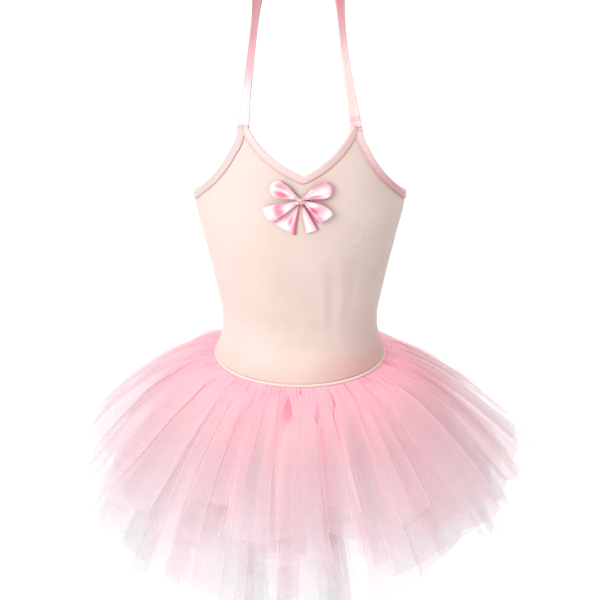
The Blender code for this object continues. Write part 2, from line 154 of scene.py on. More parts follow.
def spline(points, share):
    """Points at the given shares of the way along a Catmull-Rom curve through the rows."""
    points = np.asarray(points, float)
    points = np.vstack([2 * points[0] - points[1], points, 2 * points[-1] - points[-2]])
    place = np.asarray(share, float) * (len(points) - 3)
    i = np.minimum(place.astype(int), len(points) - 4)
    t = (place - i)[:, None]
    p, a, b, n = points[i], points[i + 1], points[i + 2], points[i + 3]
    return 0.5 * (2 * a + (b - p) * t + (2 * p - 5 * a + 4 * b - n) * t**2 + (3 * a - p - 3 * b + n) * t**3)


def lengths_along(points):
    """Distance along a line of points from the first to each."""
    return np.concatenate([[0], np.cumsum(np.linalg.norm(np.diff(points, axis=0), axis=1))])


def radius(turn, z):
    """Distance from the axis to the bodice's outer face."""
    side, front, back = (smooth(BODY, z, i) for i in (1, 2, 3))
    a = np.radians(turn)
    depth = np.where(np.cos(a) > 0, front, back)
    n = BODY_ROUNDNESS
    return (np.abs(np.sin(a) / side)**n + np.abs(np.cos(a) / depth)**n)**(-1 / n)


def outer(turn, z):
    """Points on the bodice's outer face."""
    turn, z = np.broadcast_arrays(np.asarray(turn, float), np.asarray(z, float))
    r, a = radius(turn, z), np.radians(turn)
    return np.stack([r * np.sin(a), -r * np.cos(a), z], -1)


def unit(v):
    return v / np.maximum(np.linalg.norm(v, axis=-1, keepdims=True), 1e-12)


def normal(turn, z):
    """The way out from the bodice's outer face."""
    z = np.asarray(z, float)
    around = outer(turn + 0.5, z) - outer(turn - 0.5, z)
    return unit(np.cross(around, outer(turn, z + 1) - outer(turn, z - 1)))


def on_body(turn, z, off):
    """Points this far off the bodice's outer face."""
    return outer(turn, z) + normal(turn, z) * np.asarray(off, float)[..., None]


def turn_at(x, z):
    """The turn of the front's point that is x to the side, by halving."""
    low, high = np.zeros(np.shape(x)), np.full(np.shape(x), 89.0)
    for _ in range(HALVINGS):
        middle = (low + high) / 2
        short = radius(middle, z) * np.sin(np.radians(middle)) < np.abs(x)
        low, high = np.where(short, middle, low), np.where(short, high, middle)
    return np.copysign(low, x)


def hem_z(turn):
    return HEM_Z - HEM_DIP * np.maximum(0.0, np.cos(np.radians(turn)))**2


# ---- upper edge of the bodice
def spread(line, count):
    """count points at equal steps over the body along a line of (turn, z)."""
    run = lengths_along(outer(line[:, 0], line[:, 1]))
    steps = np.linspace(0, run[-1], count)
    return paired(np.interp(steps, run, line[:, 0]), np.interp(steps, run, line[:, 1]))


def edge_line(table, count, side=1):
    t = np.linspace(table[0, 0], table[-1, 0], EDGE_SAMPLES)
    return spread(paired(side * t, smooth(table, t)), count)


def neck_line(count, side):
    out = np.linspace(0, NECK[-1, 0], EDGE_SAMPLES)
    z = smooth(NECK, out)
    return spread(paired(turn_at(side * out + NECK_SHIFT * (1 - out / NECK[-1, 0]), z), z), count)


ARM, HALF = 56, 60         # points along an armhole's front or back, and along half a neck
neck = np.vstack([neck_line(HALF, -1)[:0:-1], neck_line(HALF, 1)])
arm_left = edge_line(FRONT_ARMHOLE, ARM)
arm_right = edge_line(FRONT_ARMHOLE, ARM, -1)
back_arm = edge_line(BACK_ARMHOLE, ARM)
scoop_half = edge_line(BACK_SCOOP, HALF)


def mirrored(line):
    return paired(360 - line[::-1, 0], line[::-1, 1])


scoop = np.vstack([scoop_half, mirrored(scoop_half)[1:]])


# ---- meshes
def linked(name, data):
    thing = bpy.data.objects.new(name, data)
    bpy.context.scene.collection.objects.link(thing)
    return thing


def mesh_grid(name, points, uv, closed=False, keep=None, facts=()):
    """A mesh over a grid of points in mm, rows by columns, with its place on the flat cloth and facts for
    its material. closed joins the last column to the first, and keep says which faces are made."""
    rows, cols = points.shape[:2]
    r, c = np.meshgrid(np.arange(rows - 1), np.arange(cols if closed else cols - 1), indexing="ij")
    d = (c + 1) % cols
    here, below = r * cols, (r + 1) * cols
    quads = np.stack([here + c, here + d, below + d, below + c], -1).reshape(-1, 4)
    if keep is not None:
        quads = quads[keep.reshape(-1)]
    mesh = bpy.data.meshes.new(name)
    mesh.from_pydata((points.reshape(-1, 3) * MM).tolist(), [], quads.tolist())
    corner = np.empty(len(mesh.loops), int)
    mesh.loops.foreach_get("vertex_index", corner)
    flat = uv.reshape(-1, 2)[corner]
    if closed:
        # the last column's faces wrap to the first, whose u is carried on
        face = np.repeat(np.arange(len(quads)), 4)
        last = (quads[:, 0] % cols == cols - 1)[face] & (corner % cols == 0)
        flat[last, 0] += uv[0, -1, 0] + uv[0, 1, 0] - 2 * uv[0, 0, 0]
    mesh.uv_layers.new(name="flat").data.foreach_set("uv", flat.reshape(-1))
    for key, values in dict(facts).items():
        data = mesh.attributes.new(key, "FLOAT", "POINT").data
        data.foreach_set("value", values.reshape(-1).astype(np.float32))
    mesh.shade_smooth()
    return linked(name, mesh)


def thicken(thing, wall, offset=0.0):
    """Give cloth its wall: all of it inside the face at an offset of -1, half to each side at 0."""
    mod = thing.modifiers.new("wall", "SOLIDIFY")
    mod.thickness = wall * MM
    mod.offset = offset
    mod.use_even_offset = True
    return thing


def weld(thing):
    mod = thing.modifiers.new("weld", "WELD")
    mod.merge_threshold = 1e-6


# ---- materials
def nodes_of(name):
    material = bpy.data.materials.new(name)
    material.use_nodes = True
    tree = material.node_tree
    tree.nodes.clear()
    return material, tree, tree.nodes.new("ShaderNodeOutputMaterial")


def node(tree, kind, inputs=(), **settings):
    """A shader node. Its inputs, by name or number, are values or the sockets that feed them."""
    made = tree.nodes.new("ShaderNode" + kind)
    for key, value in settings.items():
        setattr(made, key, value)
    for key, value in dict(inputs).items():
        if isinstance(value, bpy.types.NodeSocket):
            tree.links.new(value, made.inputs[key])
        else:
            made.inputs[key].default_value = value
    return made


def attribute(tree, name):
    return node(tree, "Attribute", attribute_name=name).outputs["Fac"]


def flat_place(tree):
    return node(tree, "UVMap", uv_map="flat").outputs["UV"]


def noise(tree, place, scale, detail):
    return node(tree, "TexNoise", {"Vector": place, "Scale": scale, "Detail": detail}).outputs["Fac"]


def rows_of(tree, place, axis, scale, distortion, detail):
    inputs = {"Vector": place, "Scale": scale, "Distortion": distortion, "Detail": detail}
    return node(tree, "TexWave", inputs, bands_direction=axis).outputs["Fac"]


def plus(tree, a, b):
    return node(tree, "Math", {0: a, 1: b}, operation="ADD").outputs[0]


def times(tree, a, b, clamp=False):
    return node(tree, "Math", {0: a, 1: b}, operation="MULTIPLY", use_clamp=clamp).outputs[0]


def share_between(tree, value, low, high):
    return node(tree, "MapRange", {"Value": value, "From Min": low, "From Max": high}).outputs[0]


def ramp(tree, share, stops):
    """The colour at a share of the way along the stops, which are rows of a place and its colour."""
    made = node(tree, "ValToRGB", {"Fac": share})
    elements = made.color_ramp.elements
    while len(elements) < len(stops):
        elements.new(0.5)
    for element, (place, *colour) in zip(elements, stops):
        element.position = place
        element.color = (*colour, 1.0)
    return made.outputs["Color"]


def value_ramp(tree, share, stops):
    return ramp(tree, share, [(p, v, v, v) for p, v in stops])


def tinted(tree, share, under, colour, blend="MIX"):
    """A socket's colour, mixed with a plain colour by a share."""
    inputs = {0: share, 6: under, 7: (*colour, 1.0)}
    return node(tree, "Mix", inputs, data_type="RGBA", blend_type=blend).outputs[2]


def bump(tree, height, strength, distance):
    inputs = {"Strength": strength, "Distance": distance, "Height": height}
    return node(tree, "Bump", inputs).outputs["Normal"]


def knit_material(name, low, high, pink):
    """Fine stretch knit: a soft mottle between two colours, mixed towards a third where the skirt's pink
    light and shade are painted on it, with close rows of stitches as bump."""
    material, tree, out = nodes_of(name)
    flat = flat_place(tree)
    place = node(tree, "TexCoord").outputs["Object"]
    mottle = noise(tree, place, 22.0, 3.0)
    grain = noise(tree, place, 900.0, 2.0)
    both = plus(tree, times(tree, mottle, 0.7), times(tree, grain, 0.3))
    # the third colour paints the skirt's pink light and the shade low on the bodice
    colour = tinted(tree, attribute(tree, "painted_glow_and_shade"), ramp(tree, both, [(0.3, *low), (0.7, *high)]), pink)
    ribs = rows_of(tree, flat, "X", 0.55, 0.6, 1.0)
    loops = rows_of(tree, flat, "Y", 0.45, 0.4, 2.0)
    height = plus(tree, plus(tree, ribs, loops), times(tree, grain, 0.8))
    shader = node(tree, "BsdfPrincipled", {
        "Base Color": colour, "Roughness": value_ramp(tree, grain, [(0.3, 0.6), (0.7, 0.74)]),
        "Normal": bump(tree, height, 0.16, 0.0004), "Sheen Weight": 0.22, "Sheen Roughness": 0.5,
        "Specular IOR Level": 0.25,
    })
    tree.links.new(shader.outputs[0], out.inputs["Surface"])
    return material


def satin_material(name, stops, heights, rough=0.34, lines=(), sheen=0.15):
    """Satin with fine lengthwise threads. Its colour runs through the stops between two heights, or by
    "tone" where they are None. Lines lie along it: from and to across, strength, colour."""
    material, tree, out = nodes_of(name)
    flat = flat_place(tree)
    if heights is None:
        share = attribute(tree, "tone")
    else:
        place = node(tree, "TexCoord").outputs["Object"]
        height = node(tree, "SeparateXYZ", {"Vector": place}).outputs["Z"]
        share = share_between(tree, height, heights[0] * MM, heights[1] * MM)
    colour = ramp(tree, share, stops)
    across = node(tree, "SeparateXYZ", {"Vector": flat}).outputs["Y"]
    for low, high, strength, shade in lines:
        line = value_ramp(tree, share_between(tree, across, low, high),
                          [(0.0, 0.0), (0.3, 1.0), (0.7, 1.0), (1.0, 0.0)])
        colour = tinted(tree, times(tree, line, strength), colour, shade)
    threads = rows_of(tree, flat, "Y", 0.9, 0.8, 2.0)
    fine = noise(tree, flat, 1.4, 3.0)
    shader = node(tree, "BsdfPrincipled", {
        "Base Color": colour, "Normal": bump(tree, plus(tree, threads, fine), 0.10, 0.0003),
        "Roughness": value_ramp(tree, fine, [(0.2, rough - 0.05), (0.8, rough + 0.08)]),
        "Sheen Weight": sheen, "Sheen Roughness": 0.35, "Specular IOR Level": 0.6,
    })
    tree.links.new(shader.outputs[0], out.inputs["Surface"])
    return material


def tulle_material(name, stops, pale, deep, shade):
    """Net that lets light through. "net" is how much of it is thread, "tone" where its colour lies on the
    stops, "edge" how far a folded or cut edge is lightened by painted highlight; two more attributes say
    how much painted shade darkens creases, hole backs, lapped strips and the seam, and how much painted
    shade tones it down on the side that the key light would bleach."""
    material, tree, out = nodes_of(name)
    flat = flat_place(tree)
    cloud = times(tree, plus(tree, noise(tree, flat, 0.05, 2.0), -0.5), 0.25)
    colour = ramp(tree, plus(tree, attribute(tree, "tone"), cloud), stops)
    colour = tinted(tree, attribute(tree, "edge"), colour, pale)
    colour = tinted(tree, attribute(tree, "deep"), colour, deep)
    colour = tinted(tree, attribute(tree, "painted_shade_lit_side"), colour, shade, "MULTIPLY")
    cells = node(tree, "TexVoronoi", {"Vector": flat, "Scale": 0.6, "Randomness": 0.35},
                 feature="DISTANCE_TO_EDGE", voronoi_dimensions="2D").outputs["Distance"]
    thread = value_ramp(tree, cells, [(0.0, 1.0), (0.10, 1.0), (0.22, 0.0)])
    strength = plus(tree, times(tree, thread, 0.45), 0.78)
    cover = times(tree, attribute(tree, "net"), strength, clamp=True)
    front = node(tree, "BsdfDiffuse", {"Color": colour, "Roughness": 0.0}).outputs[0]
    through = node(tree, "BsdfTranslucent", {"Color": colour}).outputs[0]
    cloth = node(tree, "MixShader", {0: 0.45, 1: front, 2: through}).outputs[0]
    clear = node(tree, "BsdfTransparent").outputs[0]
    final = node(tree, "MixShader", {0: cover, 1: clear, 2: cloth}).outputs[0]
    tree.links.new(final, out.inputs["Surface"])
    return material


def dress(thing, material, slot_name, *nodes):
    thing.data.materials.append(material)
    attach(thing, "root")
    if nodes:
        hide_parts(*nodes)


# ---- bodice
# Soft creases: from (turn, z) to (turn, z), half width, height
Crease = namedtuple("Crease", "turn z end_turn end_z half height")
CREASES = [Crease(*row) for row in (
    (13, -262, 20, -352, 4.5, 0.55), (20, -258, 27, -350, 4, -0.45), (27, -255, 34, -345, 4.5, 0.5),
    (38, -262, 41, -340, 5, -0.5), (-8, -285, -5, -360, 7, -0.3), (-30, -290, -24, -365, 7, 0.3),
    (45, -240, 34, -247, 2, 0.7), (62, -225, 52, -300, 6, 0.5), (-62, -225, -54, -300, 7, 0.4),
    (3, -366, 22, -378, 4, -0.35), (-12, -372, -34, -377, 4.5, -0.3),
    (150, -300, 144, -365, 6, 0.5), (165, -295, 168, -360, 6, -0.4),
    (196, -296, 190, -362, 6, 0.5), (214, -285, 222, -360, 6, -0.4),
    (108, -235, 118, -310, 6, 0.5), (250, -235, 242, -310, 6, 0.5),
    (160, -372, 200, -370, 5, -0.4),
)]
CREASE_RADIUS = 85.0       # of the body, for the creases' turns
CREASE_SWAY = 2.2          # from the straight line
CREASE_EDGE = 12.0         # below the upper edge, over which the creases grow
PANEL_ROWS = 72
FLAT_Z = -320.0            # height at which a panel's flat width is taken
HEM_BEAD = (0.5, 2.2, 1.3)     # the rolled hem's height, place above the edge, half width


def crease_height(turn, z):
    """Height over the smooth form of the creases, which are long soft ridges and troughs."""
    total = np.zeros(np.shape(turn))
    r = CREASE_RADIUS * math.pi / 180
    for c in CREASES:
        dx, dz = (c.end_turn - c.turn) * r, c.end_z - c.z
        length = math.hypot(dx, dz)
        px, pz = (turn - c.turn) * r, z - c.z
        along = (px * dx + pz * dz) / length
        off = (px * dz - pz * dx) / length + CREASE_SWAY * np.sin(along / length * 3.1)
        share = np.clip(along / length, -0.25, 1.25)
        fade = bell(share - 0.5, 0.42, 4)
        total += c.height * fade * bell(off, c.half)
    return total


def panel(name, edge, material):
    """A bodice panel from the hem up to its edge, with creases and painted pink light and shade low down.
    """
    turn = np.broadcast_to(edge[:, 0], (PANEL_ROWS, len(edge)))
    base = hem_z(edge[:, 0])
    z = base + (edge[:, 1] - base) * np.linspace(0, 1, PANEL_ROWS)[:, None]
    high, above, half = HEM_BEAD
    bead = high * bell(z - base - above, half)
    near_edge = clamp((edge[:, 1] - z) / CREASE_EDGE)
    points = on_body(turn, z, crease_height(turn, z) * near_edge + bead)
    run = lengths_along(outer(edge[:, 0], FLAT_Z))
    # painted light and shade: the skirt's pink light on the knit above it, and shade, most at the wearer's
    # left
    from_front = (turn + 180) % 360 - 180
    side = clamp(from_front / 40) * clamp((180 - from_front) / 60)
    glow_and_shade = (0.38 + 0.62 * side) * bell(z - base, 22 + 12 * side)
    thing = mesh_grid(name, points, paired(run, z), facts={"painted_glow_and_shade": 0.75 * glow_and_shade})
    thicken(thing, KNIT_CLOTH, -1.0)
    dress(thing, material, "bodice_knit", name.replace("cloth_", ""))


knit = knit_material("bodice_knit_fine", (0.482, 0.385, 0.346), (0.533, 0.430, 0.388), (0.44, 0.22, 0.20))
SEAM_GAP = math.degrees(0.15 / 100)    # turn of 0.15 mm at the side seams, 100 mm from the axis


def inset(edge):
    """An upper edge whose ends stay clear of the side seams."""
    edge = edge.copy()
    edge[0, 0] += SEAM_GAP
    edge[-1, 0] -= SEAM_GAP
    return edge


front_edge = np.vstack([arm_right[::-1], neck[1:-1], arm_left])
back_edge = np.vstack([back_arm, scoop[1:-1], mirrored(back_arm)])
panel("cloth_bodice_front", inset(front_edge), knit)
panel("cloth_bodice_back", inset(back_edge), knit)


def binding(name, edge, tips, material):
    """A ribbon folded over the bound edge, narrower near the tips, where the bindings meet."""
    fold = PANEL_WALL / 2 + BINDING_WALL / 2 + BINDING_CLEAR
    points = outer(edge[:, 0], edge[:, 1])
    run = unit(np.gradient(points, axis=0))
    inward = unit(np.cross(normal(edge[:, 0], edge[:, 1]), run))
    inward[inward[:, 2] > 0] *= -1
    tip = np.where(np.arange(len(edge)) < len(edge) / 2, tips[0], tips[1])
    width = BINDING_MIN_WIDTH + BINDING_SPREAD * np.maximum(0.0, tip - edge[:, 1])
    width = np.minimum(BINDING_WIDTH, width)
    # from the front edge round the fold to the back edge: share of the width, bulge, out from the wall
    profile = [(1, 0, fold - 0.35), (0.93, 0, fold - 0.05)]
    profile += [(share, 0, fold) for share in (0.8, 0.6, 0.4, 0.2, 0.05)]
    profile += [(0, BINDING_BULGE * math.sin(a), fold * math.cos(a))
                for a in np.radians((25, 50, 75, 105, 130, 155))]
    profile += [(share, 0, -fold) for share in (0.05, 0.35, 0.7, 1)]
    share, bulge, lift = np.array(profile).T[..., None]
    target = points + inward * (width * share - bulge)[..., None]
    turn = np.degrees(np.arctan2(target[..., 0], -target[..., 1]))
    turn = np.where(turn - edge[:, 0] < -180, turn + 360, turn)
    grid = on_body(turn, target[..., 2], lift - PANEL_WALL / 2)
    along = lengths_along(points)
    steps = np.linalg.norm(np.diff(grid, axis=0), axis=2)
    across = np.cumsum(np.vstack([np.zeros(len(edge)), steps]), axis=0)
    # tone runs with x, so the stops paint shade across the bindings
    tone = clamp(grid[..., 0] / 110 + 0.5)
    thing = mesh_grid("cloth_" + name, grid, paired(along, across), facts={"tone": tone})
    dress(thicken(thing, BINDING_CLOTH), material, "satin_binding", name)


# The hem is turned up inside; its fold shows as a pale line of painted highlight, in a paler knit.
# Rows: out from the body's face, up from the hem
FOLD = np.array([
    (0.3, 1.5), (0.75, 1), (0.95, 0.2), (0.75, -0.6), (0.2, -1), (-0.6, -1.1), (-1.4, -0.8),
    (-2.3, 0.2), (-2.8, 2), (-2.9, 5), (-2.9, 8.5),
])
HEM_COLUMNS = 320
turns = np.linspace(-180, 180, HEM_COLUMNS, endpoint=False)
hem_points = np.array([on_body(turns, hem_z(turns) + up, out) for out, up in FOLD])
hem_uv = paired(turns * 1.5, np.arange(len(FOLD))[:, None] * 1.2)
hem_fold = thicken(mesh_grid("cloth_bodice_hem", hem_points, hem_uv, closed=True), HEM_CLOTH)
# a paler copy of the knit: painted highlight along the hem's fold
highlight_knit = knit_material("bodice_hem_highlight", (0.56, 0.43, 0.385), (0.61, 0.47, 0.42), (0.5, 0.3, 0.3))
dress(hem_fold, highlight_knit, "bodice_knit")

# from the wearer's right to the left, deeper to the left: painted shade away from the key light
NECK_STOPS = [
    (0, 0.53, 0.4, 0.39), (0.5, 0.51, 0.37, 0.36), (0.75, 0.48, 0.335, 0.32), (1, 0.48, 0.33, 0.32),
]
RIGHT_ARM_STOPS = [(0, 0.43, 0.34, 0.33), (1, 0.46, 0.38, 0.365)]
# from low to high: deep pink low down, painted shade on the armhole turned from the light, paler higher up
LEFT_ARM_STOPS = [
    (0, 0.44, 0.21, 0.225), (0.35, 0.51, 0.265, 0.28), (0.7, 0.6, 0.42, 0.42), (1, 0.62, 0.46, 0.45),
]
# darker lines: at the stitched edge partly stitching and partly painted shade, and along the fold
SEWN, FOLDED = (0.5, 1.6), (7.6, 10.2)     # across a binding: its stitched edge and its fold
EDGE_HEIGHTS, STRAP_HEIGHTS = (-225, -120), (-140, 0)
neck_satin = satin_material("satin_binding_neck", NECK_STOPS, None, rough=0.45, lines=[
    (*SEWN, 0.75, (0.46, 0.19, 0.21)), (1.6, 3.2, 0.25, (0.50, 0.30, 0.30)),
    (*FOLDED, 0.45, (0.56, 0.34, 0.35))])
arm_satin = satin_material("satin_binding_right_arm", RIGHT_ARM_STOPS, None, rough=0.45, lines=[
    (*SEWN, 0.6, (0.44, 0.25, 0.26)), (*FOLDED, 0.5, (0.38, 0.25, 0.26))])
# painted shade: the binding of the wearer's left armhole deepens downwards
shaded_arm_satin = satin_material("satin_binding_left_arm", LEFT_ARM_STOPS, EDGE_HEIGHTS, rough=0.45, lines=[
    (*SEWN, 0.85, (0.42, 0.13, 0.17)), (*FOLDED, 0.35, (0.52, 0.28, 0.30))])
front_tip, back_tip = FRONT_ARMHOLE[0, 1], BACK_SCOOP[0, 1]
binding("binding_neck_front", neck, (front_tip, front_tip), neck_satin)
left_arm = np.vstack([arm_left, back_arm[1:]])
right_arm = np.vstack([arm_right, back_arm[1:] * (-1, 1)])
binding("binding_armhole_left", left_arm, (front_tip, back_tip), shaded_arm_satin)
binding("binding_armhole_right", right_arm, (front_tip, back_tip), arm_satin)
binding("binding_neck_back", scoop, (back_tip, back_tip), neck_satin)


# ---- straps
STRAP_STEPS, STRAP_WIDE = 161, 9       # points along and across
TACK_LONG, TACK_ROUND = 13, 12


def strap_route():
    """The strap's own route, and its ends, which run down behind the points of the front and back."""
    inside = -(PANEL_WALL + BINDING_CLEAR + BINDING_WALL + STRAP_CLEAR + STRAP_WALL / 2)
    front_at = ((neck[-1, 0] + FRONT_ARMHOLE[0, 0]) / 2, front_tip)
    back_at = ((BACK_ARMHOLE[-1, 0] + BACK_SCOOP[0, 0]) / 2, back_tip)

    def sewn(turn, z, half_turn):
        n = normal(turn, z)
        return (*on_body(turn, z, inside), math.degrees(math.atan2(n[0], -n[1])) - half_turn, 0.0)

    return [sewn(front_at[0], front_at[1] - STRAP_TUCK, 0), sewn(*front_at, 0), *map(tuple, STRAP),
            sewn(*back_at, 180), sewn(back_at[0], back_at[1] - STRAP_TUCK, 180)]


def strap(name, side, material):
    """A ribbon along the strap's route, a little cupped across."""
    place = spline(strap_route(), np.linspace(0, 1, STRAP_STEPS))
    run = unit(np.gradient(place[:, :3], axis=0))
    twist = np.radians(place[:, 3])
    across = np.stack([np.cos(twist), np.sin(twist), 0 * twist], 1)
    across = unit(across - run * np.sum(across * run, 1, keepdims=True))
    up = np.cross(run, across)
    wide = np.linspace(-0.5, 0.5, STRAP_WIDE)
    grid = np.array([
        place[:, :3] + across * STRAP_WIDTH * w + up * STRAP_CUP * (1 - (2 * w)**2) for w in wide])
    grid[..., 0] = side * grid[..., 0] + place[:, 4]
    along = lengths_along(place[:, :3])
    uv = paired(along, (wide * STRAP_WIDTH)[:, None])
    thing = thicken(mesh_grid("cloth_" + name, grid[::side], uv[::side]), STRAP_CLOTH)
    dress(thing, material, "satin_strap", name)


def tack(name, turn, z, half_turn, tilt, size, material):
    """A close row of stitches across a strap's foot: a soft bead over the ends of the bindings."""
    a = np.linspace(0, 2 * math.pi, TACK_ROUND, endpoint=False)
    grid, uv = [], []
    for s in np.linspace(-1, 1, TACK_LONG):
        swell = math.sqrt(max(1 - s**6, 0.02)) * (1 + 0.12 * math.cos(20 * s))
        out = PANEL_WALL / 2 + BINDING_CLEAR + BINDING_WALL + 0.1 + 0.5 * swell * np.cos(a)
        height = z + tilt * s + size * swell * np.sin(a)
        grid.append(on_body(np.full(TACK_ROUND, turn + half_turn * s), height, out - PANEL_WALL / 2))
        uv.append(paired(8 * s, a * size))
    dress(mesh_grid(name, np.array(grid), np.array(uv), closed=True), material, "satin_binding")


# from low to high: pale low down and deeper pink towards the top, painted shade where each strap turns from
# the light; the left strap has a narrow darker band low down
LEFT_STOPS = [
    (0, 0.72, 0.53, 0.505), (0.14, 0.72, 0.53, 0.505), (0.155, 0.64, 0.38, 0.41),
    (0.18, 0.67, 0.43, 0.45), (0.195, 0.75, 0.545, 0.52), (0.5, 0.775, 0.583, 0.552),
    (0.6, 0.75, 0.52, 0.51), (0.72, 0.66, 0.36, 0.4), (0.914, 0.545, 0.19, 0.22),
    (1, 0.52, 0.162, 0.19),
]
RIGHT_STOPS = [
    (0, 0.6, 0.44, 0.43), (0.36, 0.6, 0.42, 0.42), (0.5, 0.53, 0.272, 0.285),
    (0.72, 0.375, 0.15, 0.173), (0.93, 0.305, 0.108, 0.122), (1, 0.29, 0.1, 0.113),
]
# darker lines along both edges of each strap
STRAP_EDGE_LINES = [(-6.1, -4.9, 0.4, (0.46, 0.28, 0.29)), (4.9, 6.1, 0.4, (0.46, 0.28, 0.29))]
# painted shade: each strap's colour deepens towards the top
for name, side, stops in (("strap_left", 1, LEFT_STOPS), ("strap_right", -1, RIGHT_STOPS)):
    strap(name, side, satin_material("satin_" + name, stops, STRAP_HEIGHTS, rough=0.38, lines=STRAP_EDGE_LINES))
THREAD_STOPS = [(0, 0.52, 0.25, 0.28), (1, 0.56, 0.28, 0.31)]
thread = satin_material("tack_thread", THREAD_STOPS, EDGE_HEIGHTS, rough=0.5)
for row in (("tack_front_right", -41.2, -123.4, 2.4, -0.3, 0.9),
            ("tack_front_left", 40.6, -123.2, 2.2, -0.8, 0.7),
            ("tack_front_left_low", 41, -127, 1.9, -1.2, 0.45),
            ("tack_back_left", 138, -209, 3.2, 0, 0.8), ("tack_back_right", -138, -209, 3.2, 0, 0.8)):
    tack(*row, thread)


# ---- bow
# A ribbon's tone, and its painted highlights and shade where it folds, turns or catches the light: share of
# its run, place across (-1 to 1), reach along and across, how much paler (+) or deeper (-). A loop's outer
# leaf is 0.6 of its run.
PAINTED_LIGHT_AND_SHADE = {
    "bow_loop_upper_left": (0.66, [
        (0.58, 0.1, 0.085, 1.1, -0.42), (0.36, 0.95, 0.26, 0.36, -0.34),
        (0.36, 0.02, 0.12, 0.3, 0.36), (0.26, -0.5, 0.12, 0.24, -0.36),
        (0.3, -1.05, 0.42, 0.24, -0.8), (0.54, -0.95, 0.1, 0.3, -0.5),
        (0.44, -0.55, 0.08, 0.26, 0.26), (0.85, 0, 0.2, 2, -0.6),
    ]),
    "bow_loop_upper_right": (0.7, [
        (0.34, 0.46, 0.1, 0.44, -0.56), (0.42, -0.6, 0.12, 0.44, -0.4),
        (0.33, -0.1, 0.1, 0.1, 0.22), (0.18, 0.3, 0.05, 0.6, 0.3), (0.58, -0.1, 0.09, 0.8, 0.26),
        (0.24, -0.9, 0.1, 0.24, -0.3), (0.85, 0, 0.2, 2, -0.6),
    ]),
    "bow_loop_lower_right": (0.74, [
        (0.345, 0.05, 0.055, 0.95, -0.5), (0.27, -0.8, 0.09, 0.3, -0.46),
        (0.22, 0, 0.05, 0.6, 0.28), (0.2, 1, 0.24, 0.28, -0.6), (0.6, 0, 0.022, 1.2, -0.4),
        (0.48, 0.8, 0.1, 0.3, -0.2), (0.48, -0.1, 0.08, 0.5, 0.24), (0.85, 0, 0.2, 2, -0.5),
    ]),
    "bow_loop_lower_left": (0.66, [
        (0.28, -0.36, 0.075, 0.42, -0.52), (0.22, 0.35, 0.06, 0.4, 0.32),
        (0.36, 0.3, 0.06, 0.6, -0.24), (0.47, 0.4, 0.09, 0.6, 0.3),
        (0.45, -0.6, 0.1, 0.36, -0.26), (0.2, 0.98, 0.14, 0.25, -0.45),
        (0.3, -1.05, 0.4, 0.22, -0.7), (0.59, 0, 0.03, 1.2, -0.3), (0.85, 0, 0.2, 2, -0.5),
    ]),
    "bow_tail_left": (0.72, [
        (0.55, 1, 0.6, 0.4, -0.8), (0.55, -0.98, 0.6, 0.22, -0.4),
        (0.7, -0.3, 0.3, 0.36, 0.26), (0.1, 0, 0.14, 2, -0.45),
    ]),
    "bow_tail_right": (0.7, [
        (0.55, 1, 0.9, 0.26, -1.1), (0.72, 0.24, 0.12, 0.18, -0.46),
        (0.86, 0.6, 0.2, 0.14, -0.2), (0.62, -0.25, 0.24, 0.22, -0.18),
        (0.9, -0.1, 0.16, 0.4, 0.24), (0.85, -0.8, 0.3, 0.2, -0.2), (0.1, 0.2, 0.14, 2, -0.4),
    ]),
}


LOOP_STEPS, TAIL_STEPS, RIBBON_WIDE = 90, 40, 25       # points along and across
KNOT_STEPS, KNOT_ROUND = 17, 40
KNOT_SHARE = (0.66, 0.8)   # of the CAD's knot, across and up


def bow_ribbon(row, material):
    """A loop or tail of satin ribbon, cupped across and pinched into small folds at the knot."""
    loop = row.shape is LOOP
    at_knot = (1.5, 3.4, 1.0) if loop else (1.5, 0.9, 0.8)
    table = np.vstack([at_knot, row.shape]) * np.array([row.size, 1.0, row.width])
    steps = LOOP_STEPS if loop else TAIL_STEPS
    share = np.linspace(0, 1, steps)
    run = spline(table, share)
    if not loop:
        run[:, 2] *= 1 + 0.18 * share
    grid, uv, tone = [], [], []
    along = lengths_along(run[:, :2])
    pinch = np.exp(-np.maximum(run[:, 0] - 3, 0) / 9)
    base, shades = PAINTED_LIGHT_AND_SHADE[row.name]
    for w in np.linspace(-1, 1, RIBBON_WIDE):
        reach = run[:, 0] - row.round * abs(w)**2.5 * (run[:, 0] / BOW_REACH)**3
        chord = np.radians(row.heading + row.bend * reach / BOW_REACH / 2)
        heading = np.radians(row.heading + row.bend * reach / BOW_REACH)
        x = KNOT[0] + reach * np.cos(chord) - run[:, 2] * w * np.sin(heading)
        z = KNOT[1] + reach * np.sin(chord) + run[:, 2] * w * np.cos(heading)
        pleat = math.cos(3.2 * math.pi * w + 0.6)
        crown = 1.2 * (1 - w**2) - 0.6 * bell(share - 0.33, 0.05) * (1 - w**2)
        off = BOW_LIFT + row.lift + run[:, 1] + 0.7 * pinch * pleat
        off = off + np.where(run[:, 1] > 3, crown, 0.3 * crown)
        grid.append(on_body(turn_at(x, z), z, off))
        uv.append(paired(along, 7.0 * w))
        # painted shade in the small folds at the knot, then the table's painted highlights and shade
        shade = base - 0.55 * pinch * (0.55 - 0.45 * pleat)
        for place, across, long, wide, much in shades:
            away = ((share - place) / long)**2 + ((w - across) / wide)**2
            shade = shade + much * np.exp(-away**1.6)
        tone.append(clamp(shade))
    grid, uv, facts = np.array(grid), np.array(uv), {"tone": np.array(tone)}
    thing = mesh_grid("cloth_" + row.name, grid, uv, facts=facts)
    dress(thicken(thing, BOW_CLOTH), material, "bow_satin", row.name)


